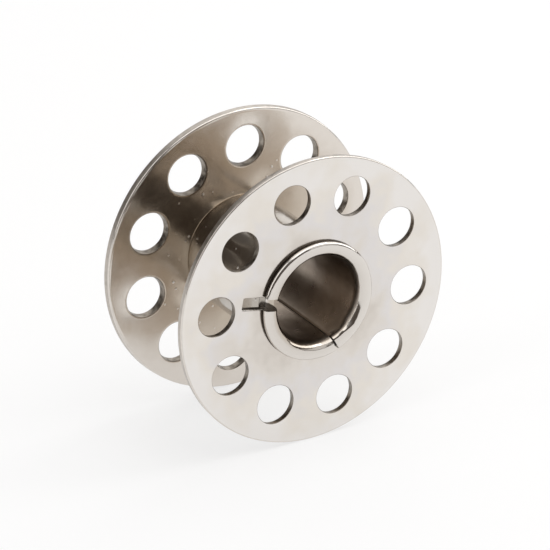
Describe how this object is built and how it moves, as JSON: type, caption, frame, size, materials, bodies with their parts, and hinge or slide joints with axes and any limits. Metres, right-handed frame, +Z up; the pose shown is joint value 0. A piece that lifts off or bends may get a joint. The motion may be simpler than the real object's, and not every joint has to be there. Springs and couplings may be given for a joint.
{
  "type": "sewing machine bobbin",
  "caption": "Empty metal sewing machine bobbin: perforated round flanges on a rolled core with a plain bore, flared ends and drive slots, for winding lower thread.",
  "frame": {"origin": "middle of the bore, halfway between the two flared ends", "axes": "+Y along the spin axis, from the front flange to the rear one; +Z up as it stands on its two rims; +X to the right as seen from the front"},
  "size_m": [0.0204, 0.011, 0.0204],
  "materials": {
    "flange_plate": "bright nickel plate on stamped steel sheet",
    "core_plate": "bright nickel plate on rolled and flared steel strip",
    "sleeve_plate": "nickel plate on rolled steel strip"
  },
  "bodies": {
    "root": {"front_flange": "flange_plate", "rear_flange": "flange_plate", "core_tube": "core_plate", "spacer_sleeve": "sleeve_plate"}
  },
  "joints": []
}
